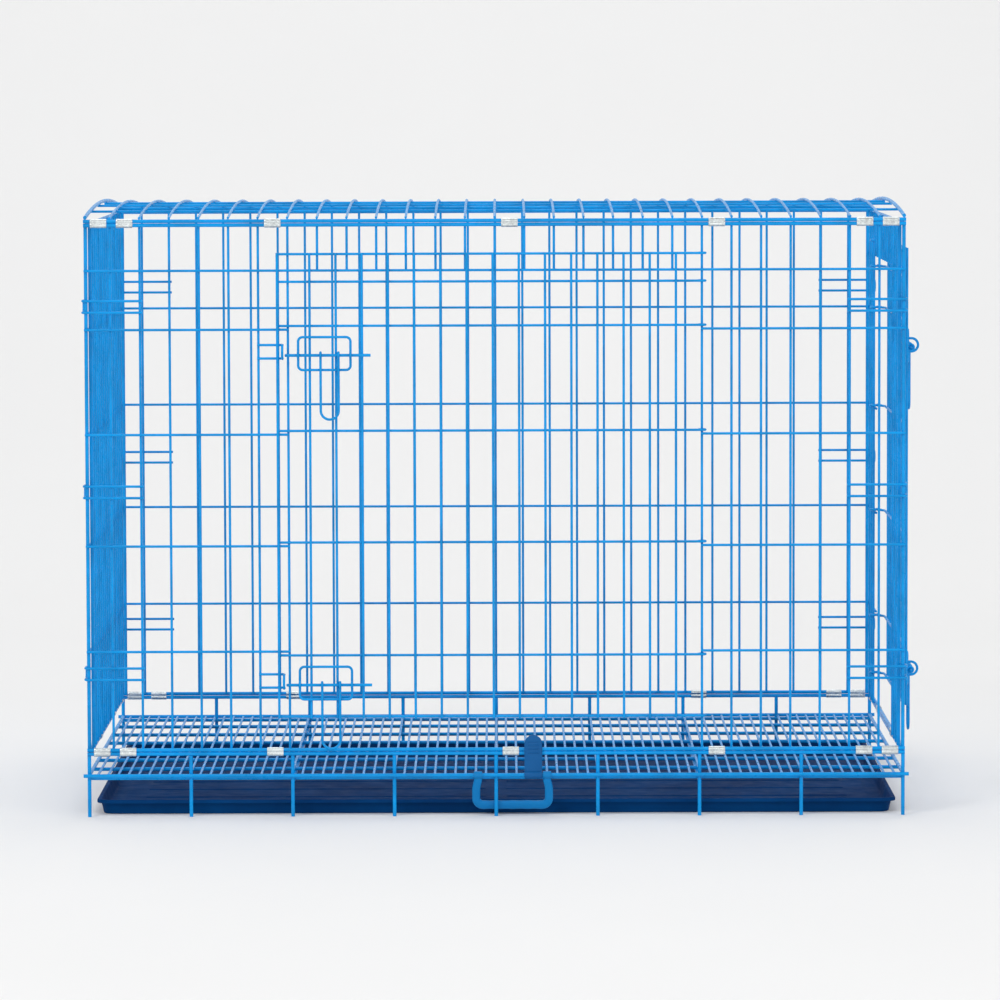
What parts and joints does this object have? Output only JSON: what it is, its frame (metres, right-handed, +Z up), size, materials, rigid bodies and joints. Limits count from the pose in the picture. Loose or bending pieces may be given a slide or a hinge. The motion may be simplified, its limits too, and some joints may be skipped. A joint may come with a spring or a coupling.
{
  "type": "wire dog crate",
  "caption": "Folding blue wire dog crate with a front and an end door, slide-bolt latches, raised bar floor, sliding tray and carry handle.",
  "frame": {"origin": "on the ground, under the middle of the crate, at the middle of the tray's underside", "axes": "+X to the right along the crate's length, -Y out of the front door, +Z up"},
  "size_m": [1.1335, 0.7235, 0.8227],
  "materials": {
    "powder_coat": "glossy powder coat",
    "zinc": "bright zinc",
    "tray_plastic": "glossy moulded",
    "handle_plastic": "satin moulded",
    "strip_plastic": "satin moulded"
  },
  "bodies": {
    "base": {"base_rails": "powder_coat", "front_legs": "powder_coat", "back_legs": "powder_coat", "floor_edges": "powder_coat", "floor_bars": "powder_coat", "floor_cross_wires": "powder_coat", "floor_supports": "powder_coat"},
    "tray": {"tray": "tray_plastic"},
    "carry_handle": {"carry_handle": "handle_plastic"},
    "strip_clip": {"strip_clip": "strip_plastic"},
    "front_panel": {"front_frame": "powder_coat", "front_mesh": "powder_coat", "front_left_hooks": "powder_coat", "front_right_hooks": "powder_coat", "front_clips": "zinc", "front_upper_keeper": "powder_coat", "front_lower_keeper": "powder_coat"},
    "front_door": {"front_door": "powder_coat", "front_upper_guide": "powder_coat", "front_lower_guide": "powder_coat"},
    "front_upper_bolt": {"front_upper_bolt": "powder_coat"},
    "front_upper_grip": {"front_upper_grip": "powder_coat"},
    "front_lower_bolt": {"front_lower_bolt": "powder_coat"},
    "front_lower_grip": {"front_lower_grip": "powder_coat"},
    "back_panel": {"back_frame": "powder_coat", "back_mesh": "powder_coat", "back_left_hooks": "powder_coat", "back_right_hooks": "powder_coat", "back_clips": "zinc"},
    "left_end": {"left_end_frame": "powder_coat", "left_end_mesh": "powder_coat", "left_end_clips": "zinc"},
    "right_end": {"right_end_frame": "powder_coat", "right_end_mesh": "powder_coat", "right_end_clips": "zinc", "end_upper_keeper": "powder_coat", "end_lower_keeper": "powder_coat"},
    "end_door": {"end_door": "powder_coat", "end_upper_guide": "powder_coat", "end_lower_guide": "powder_coat"},
    "end_upper_bolt": {"end_upper_bolt": "powder_coat"},
    "end_upper_grip": {"end_upper_grip": "powder_coat"},
    "end_lower_bolt": {"end_lower_bolt": "powder_coat"},
    "end_lower_grip": {"end_lower_grip": "powder_coat"},
    "roof": {"roof_frame": "powder_coat", "roof_mesh": "powder_coat", "roof_clips": "zinc"}
  },
  "joints": [
    {"name": "front_fold", "type": "hinge", "parent": "base", "child": "front_panel", "pos_m": [0, -0.3475, 0.085], "axis": [-1, 0, 0], "range_deg": [-90, 0]},
    {"name": "back_fold", "type": "hinge", "parent": "base", "child": "back_panel", "pos_m": [0, 0.3475, 0.085], "axis": [1, 0, 0], "range_deg": [-90, 0]},
    {"name": "left_end_fold", "type": "hinge", "parent": "base", "child": "left_end", "pos_m": [-0.5475, 0, 0.085], "axis": [0, -1, 0], "range_deg": [-90, 0]},
    {"name": "right_end_fold", "type": "hinge", "parent": "base", "child": "right_end", "pos_m": [0.5475, 0, 0.085], "axis": [0, 1, 0], "range_deg": [-87, 0]},
    {"name": "roof_lift", "type": "hinge", "parent": "front_panel", "child": "roof", "pos_m": [0, -0.3475, 0.796], "axis": [1, 0, 0], "range_deg": [0, 180]},
    {"name": "front_door_swing", "type": "hinge", "parent": "front_panel", "child": "front_door", "pos_m": [0.2772, -0.34328, 0.4], "axis": [0, 0, 1], "range_deg": [0, 150]},
    {"name": "end_door_swing", "type": "hinge", "parent": "right_end", "child": "end_door", "pos_m": [0.54328, 0.198, 0.4], "axis": [0, 0, 1], "range_deg": [0, 135]},
    {"name": "tray_slide", "type": "slide", "parent": "base", "child": "tray", "axis": [1, 0, 0], "range_m": [0, 1]},
    {"name": "handle_swing", "type": "hinge", "parent": "base", "child": "carry_handle", "pos_m": [0.022, -0.35252, 0.056], "axis": [1, 0, 0], "range_deg": [0, 6]},
    {"name": "strip_clip_turn", "type": "hinge", "parent": "base", "child": "strip_clip", "pos_m": [0.05, -0.35252, 0.056], "axis": [-1, 0, 0], "range_deg": [-90, 0]},
    {"name": "front_upper_bolt_slide", "type": "slide", "parent": "front_door", "child": "front_upper_bolt", "axis": [1, 0, 0], "range_m": [-0.018, 0]},
    {"name": "front_upper_grip_turn", "type": "hinge", "parent": "front_upper_bolt", "child": "front_upper_grip", "pos_m": [0, -0.35882, 0.622], "axis": [-1, 0, 0], "range_deg": [0, 90]},
    {"name": "front_lower_bolt_slide", "type": "slide", "parent": "front_door", "child": "front_lower_bolt", "axis": [1, 0, 0], "range_m": [-0.018, 0]},
    {"name": "front_lower_grip_turn", "type": "hinge", "parent": "front_lower_bolt", "child": "front_lower_grip", "pos_m": [0, -0.35882, 0.17893], "axis": [-1, 0, 0], "range_deg": [0, 90]},
    {"name": "end_upper_bolt_slide", "type": "slide", "parent": "end_door", "child": "end_upper_bolt", "axis": [0, 1, 0], "range_m": [-0.018, 0]},
    {"name": "end_upper_grip_turn", "type": "hinge", "parent": "end_upper_bolt", "child": "end_upper_grip", "pos_m": [0.56882, 0, 0.622], "axis": [0, -1, 0], "range_deg": [0, 90]},
    {"name": "end_lower_bolt_slide", "type": "slide", "parent": "end_door", "child": "end_lower_bolt", "axis": [0, 1, 0], "range_m": [-0.018, 0]},
    {"name": "end_lower_grip_turn", "type": "hinge", "parent": "end_lower_bolt", "child": "end_lower_grip", "pos_m": [0.56882, 0, 0.17893], "axis": [0, -1, 0], "range_deg": [0, 90]}
  ],
  "couplings": [
    {"joint": "strip_clip_turn", "follows": "front_fold", "ratio": 1}
  ]
}
